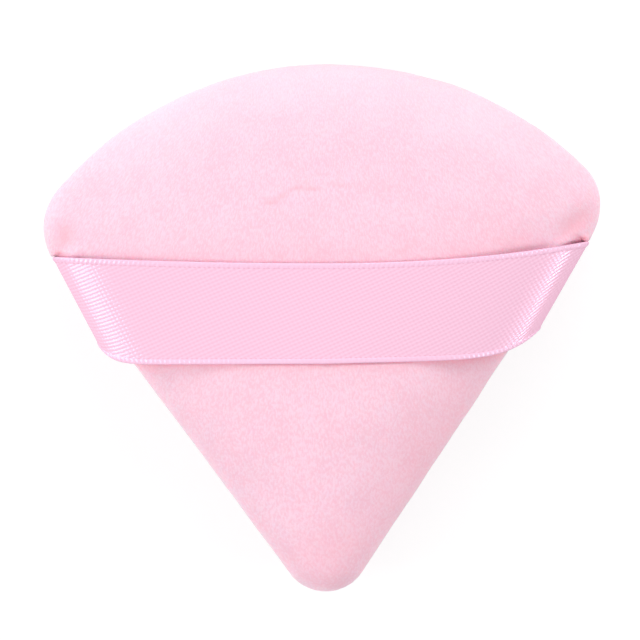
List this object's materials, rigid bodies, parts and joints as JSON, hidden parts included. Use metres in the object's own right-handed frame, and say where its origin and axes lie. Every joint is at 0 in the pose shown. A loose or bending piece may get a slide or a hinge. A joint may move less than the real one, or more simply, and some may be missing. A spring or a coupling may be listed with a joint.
{
  "type": "powder puff",
  "caption": "Fan-shaped soft velour powder puff with a sponge core and a satin ribbon finger strap across its front, its ends caught in the side seams.",
  "frame": {"origin": "on the rest plane, under the middle of the plan outline", "axes": "+X across the puff towards the ribbon's right end, +Y from the tip towards the curved edge, +Z out of the ribbon face"},
  "size_m": [0.07, 0.0662, 0.017],
  "materials": {
    "velour": "short soft pile",
    "satin": "satin sheen with a twill rib",
    "sponge": "open-cell foam",
    "thread": "twisted thread"
  },
  "bodies": {
    "puff": {"front_cover": "velour", "back_cover": "velour", "sponge_core": "sponge", "needle_thread": "thread", "bobbin_thread": "thread", "closing_thread": "thread", "ribbon_left_tail": "satin", "ribbon_right_tail": "satin"},
    "strap": {"ribbon_strap": "satin"}
  },
  "joints": [
    {"name": "strap_lift", "type": "slide", "parent": "puff", "child": "strap", "axis": [0, 0, 1], "range_m": [0, 0.006]}
  ]
}
